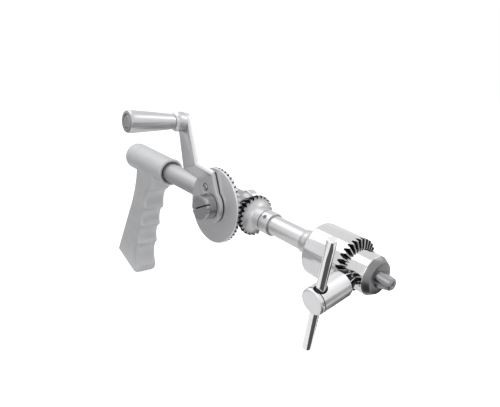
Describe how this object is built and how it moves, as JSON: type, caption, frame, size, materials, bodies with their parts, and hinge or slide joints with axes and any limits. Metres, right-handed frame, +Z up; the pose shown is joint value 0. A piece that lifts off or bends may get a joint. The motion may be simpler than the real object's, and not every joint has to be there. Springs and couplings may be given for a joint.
{
  "type": "hand-cranked bone drill",
  "caption": "Hand-cranked surgical bone drill with bevel gears, pistol grip, turning crank knob and a keyed three-jaw chuck with its key in place",
  "frame": {"origin": "centre of the closed jaw tips, on the spindle axis", "axes": "+X along the spindle axis, out of the chuck; +Y along the crank axle, away from the crank; +Z up, away from the grip"},
  "size_m": [0.2837, 0.091, 0.1651],
  "materials": {
    "blasted_aluminium": "fine bead-blasted cast aluminium, matt, pale blue grey",
    "satin_steel": "satin stainless steel with a fine even grain",
    "bright_steel": "turned and polished stainless steel",
    "ground_steel": "hardened and ground steel, darker than the sleeve",
    "dark_steel": "hardened steel screws and nut, dull",
    "satin_nickel": "satin nickel plate",
    "chrome_plate": "bright chrome plate",
    "bronze": "plain bearing bronze"
  },
  "bodies": {
    "frame": {"grip_handle": "blasted_aluminium", "stem_tube": "satin_steel", "stem_screw": "dark_steel", "gear_frame": "satin_steel", "mandrel": "ground_steel", "axle_screw": "bright_steel", "axle_nut": "bright_steel", "thrust_washer": "bronze"},
    "crank": {"crank_gear": "satin_steel", "crank_bush": "bronze", "crank_arm": "satin_steel", "arm_screw": "bright_steel", "knob_collar": "bright_steel", "knob_pin": "bright_steel"},
    "knob": {"crank_knob": "bright_steel", "knob_bush": "bronze"},
    "spindle": {"bevel_pinion": "bright_steel", "spindle_tube": "bright_steel", "retaining_collar": "bright_steel", "collar_screw": "dark_steel", "rear_bush": "bronze", "front_bush": "bronze", "chuck_arbor": "bright_steel", "chuck_body": "ground_steel"},
    "sleeve": {"chuck_sleeve": "bright_steel", "jaw_nut_left": "dark_steel", "jaw_nut_right": "dark_steel"},
    "jaw_a": {"jaw_1": "ground_steel"},
    "jaw_b": {"jaw_2": "ground_steel"},
    "jaw_c": {"jaw_3": "ground_steel"},
    "key": {"key_shank": "satin_nickel", "key_bar": "chrome_plate"}
  },
  "joints": [
    {"name": "crank_turn", "type": "hinge", "parent": "frame", "child": "crank", "pos_m": [-0.133, 0, 0], "axis": [0, -1, 0], "continuous": true},
    {"name": "knob_spin", "type": "hinge", "parent": "crank", "child": "knob", "pos_m": [-0.1566, -0.05, 0.05276], "axis": [0, -1, 0], "continuous": true},
    {"name": "spindle_spin", "type": "hinge", "parent": "frame", "child": "spindle", "pos_m": [-0.1, 0, 0], "axis": [1, 0, 0], "continuous": true},
    {"name": "sleeve_turn", "type": "hinge", "parent": "spindle", "child": "sleeve", "pos_m": [-0.035, 0, 0], "axis": [1, 0, 0], "range_deg": [0, 1728.01]},
    {"name": "key_turn", "type": "hinge", "parent": "spindle", "child": "key", "pos_m": [-0.0188, 0, 0], "axis": [0, -0.9736, -0.2284], "range_deg": [0, 5184.03]},
    {"name": "jaw_a_slide", "type": "slide", "parent": "spindle", "child": "jaw_a", "axis": [-0.9781, -0.0601, -0.199], "range_m": [0, 0.0096]},
    {"name": "jaw_b_slide", "type": "slide", "parent": "spindle", "child": "jaw_b", "axis": [-0.9781, 0.2024, 0.0475], "range_m": [0, 0.0096]},
    {"name": "jaw_c_slide", "type": "slide", "parent": "spindle", "child": "jaw_c", "axis": [-0.9781, -0.1423, 0.1516], "range_m": [0, 0.0096]}
  ],
  "couplings": [
    {"joint": "spindle_spin", "follows": "crank_turn", "ratio": -2},
    {"joint": "sleeve_turn", "follows": "jaw_a_slide", "rad_per_m": 3141.6},
    {"joint": "key_turn", "follows": "jaw_a_slide", "rad_per_m": 9424.8},
    {"joint": "jaw_b_slide", "follows": "jaw_a_slide", "ratio": 1},
    {"joint": "jaw_c_slide", "follows": "jaw_a_slide", "ratio": 1}
  ]
}
